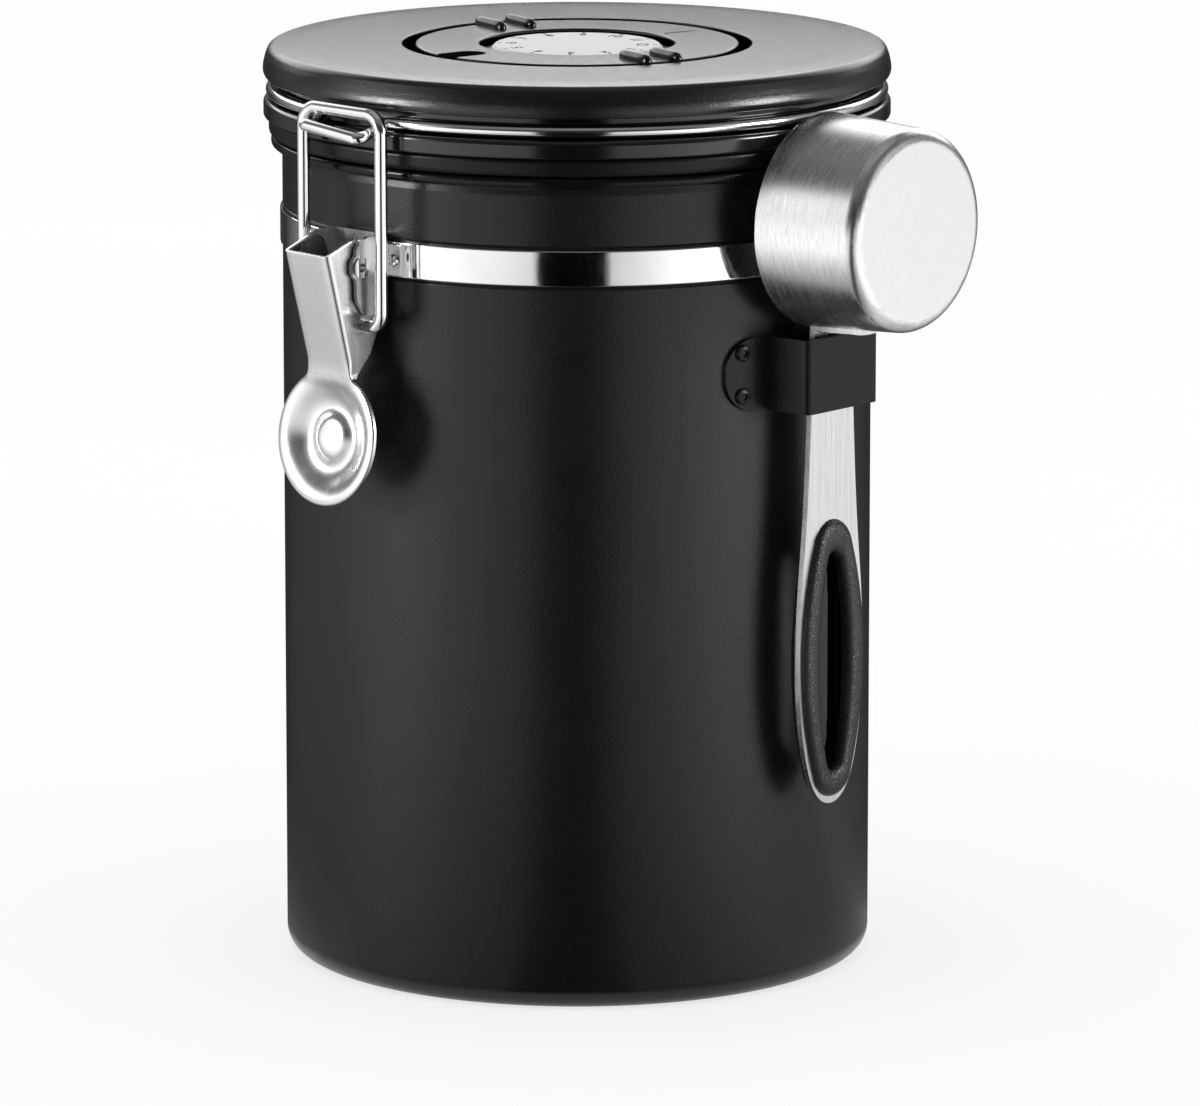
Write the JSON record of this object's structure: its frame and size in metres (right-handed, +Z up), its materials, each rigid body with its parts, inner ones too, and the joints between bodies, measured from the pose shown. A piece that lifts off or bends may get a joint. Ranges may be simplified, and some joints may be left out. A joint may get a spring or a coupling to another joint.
{
  "type": "coffee canister",
  "caption": "Black steel coffee canister with a wire bail latch, hinged lid with one-way valve and date ring, and a steel scoop held in a side bracket.",
  "frame": {"origin": "middle of the base, on the surface that the canister stands on", "axes": "+Z up through the lid, -Y towards the latch, +Y towards the lid hinge, +X towards the scoop"},
  "size_m": [0.1517, 0.1436, 0.1862],
  "materials": {
    "body_black": "matte black powder coat outside, bare steel inside",
    "band_steel": "polished steel",
    "latch_steel": "polished steel",
    "rivet_steel": "polished steel",
    "lever_steel": "polished and satin steel",
    "wire_steel": "polished wire",
    "bracket_black": "satin black paint",
    "flange_gloss": "glossy black",
    "gasket_silicone": "matte silicone",
    "cover_matte": "fine grained matte black",
    "day_print": "matte black with plain white numbers",
    "ring_matte": "fine grained matte black",
    "grip_gloss": "glossy black",
    "hub_black": "satin black",
    "dial_silver": "satin silver with plain tick marks",
    "valve_plastic": "natural white plastic",
    "valve_silicone": "translucent silicone",
    "filter_mesh": "woven filter disc",
    "cup_steel": "brushed steel",
    "grip_rubber": "grained soft rubber"
  },
  "bodies": {
    "canister": {"can_body": "body_black", "neck_band": "band_steel", "latch_bracket": "latch_steel", "latch_bracket_rivets": "rivet_steel", "latch_pivot_pin": "rivet_steel", "hinge_plate": "latch_steel", "hinge_plate_rivets": "rivet_steel", "scoop_bracket": "bracket_black", "scoop_bracket_rivets": "bracket_black"},
    "lid": {"lid_base": "flange_gloss", "lid_gasket": "gasket_silicone", "lid_cover": "cover_matte", "day_disc": "day_print", "valve_seat": "valve_plastic", "valve_filter": "filter_mesh", "valve_cap": "flange_gloss", "lid_ring_wire": "wire_steel"},
    "date_wheel": {"date_ring": "ring_matte", "ring_grips": "grip_gloss"},
    "month_wheel": {"dial_hub": "hub_black", "month_dial": "dial_silver", "dial_clip": "rivet_steel"},
    "valve": {"valve_flap": "valve_silicone"},
    "lever": {"latch_lever": "lever_steel"},
    "loop": {"tension_loop": "wire_steel"},
    "scoop": {"scoop_cup": "cup_steel", "scoop_handle": "cup_steel", "scoop_grip": "grip_rubber"}
  },
  "joints": [
    {"name": "lid_hinge", "type": "hinge", "parent": "canister", "child": "lid", "pos_m": [0, 0.0665, 0.1755], "axis": [-1, 0, 0], "range_deg": [0, 105]},
    {"name": "latch_lever_pivot", "type": "hinge", "parent": "canister", "child": "lever", "pos_m": [0, -0.067, 0.1476], "axis": [-1, 0, 0], "range_deg": [0, 110]},
    {"name": "loop_pivot", "type": "hinge", "parent": "lever", "child": "loop", "pos_m": [0, -0.0648, 0.1356], "axis": [-1, 0, 0], "range_deg": [-106, 0]},
    {"name": "date_ring_turn", "type": "hinge", "parent": "lid", "child": "date_wheel", "pos_m": [0, 0, 0.1845], "axis": [0, 0, 1], "continuous": true},
    {"name": "month_dial_turn", "type": "hinge", "parent": "lid", "child": "month_wheel", "pos_m": [0, 0, 0.1842], "axis": [0, 0, 1], "continuous": true},
    {"name": "valve_lift", "type": "slide", "parent": "lid", "child": "valve", "axis": [0, 0, 1], "range_m": [0, 0.0008], "stiffness_N_per_m": 30},
    {"name": "scoop_lift", "type": "slide", "parent": "canister", "child": "scoop", "axis": [0, 0, 1], "range_m": [0, 0.1]}
  ],
  "couplings": [
    {"joint": "loop_pivot", "follows": "latch_lever_pivot", "ratio": -0.95}
  ]
}
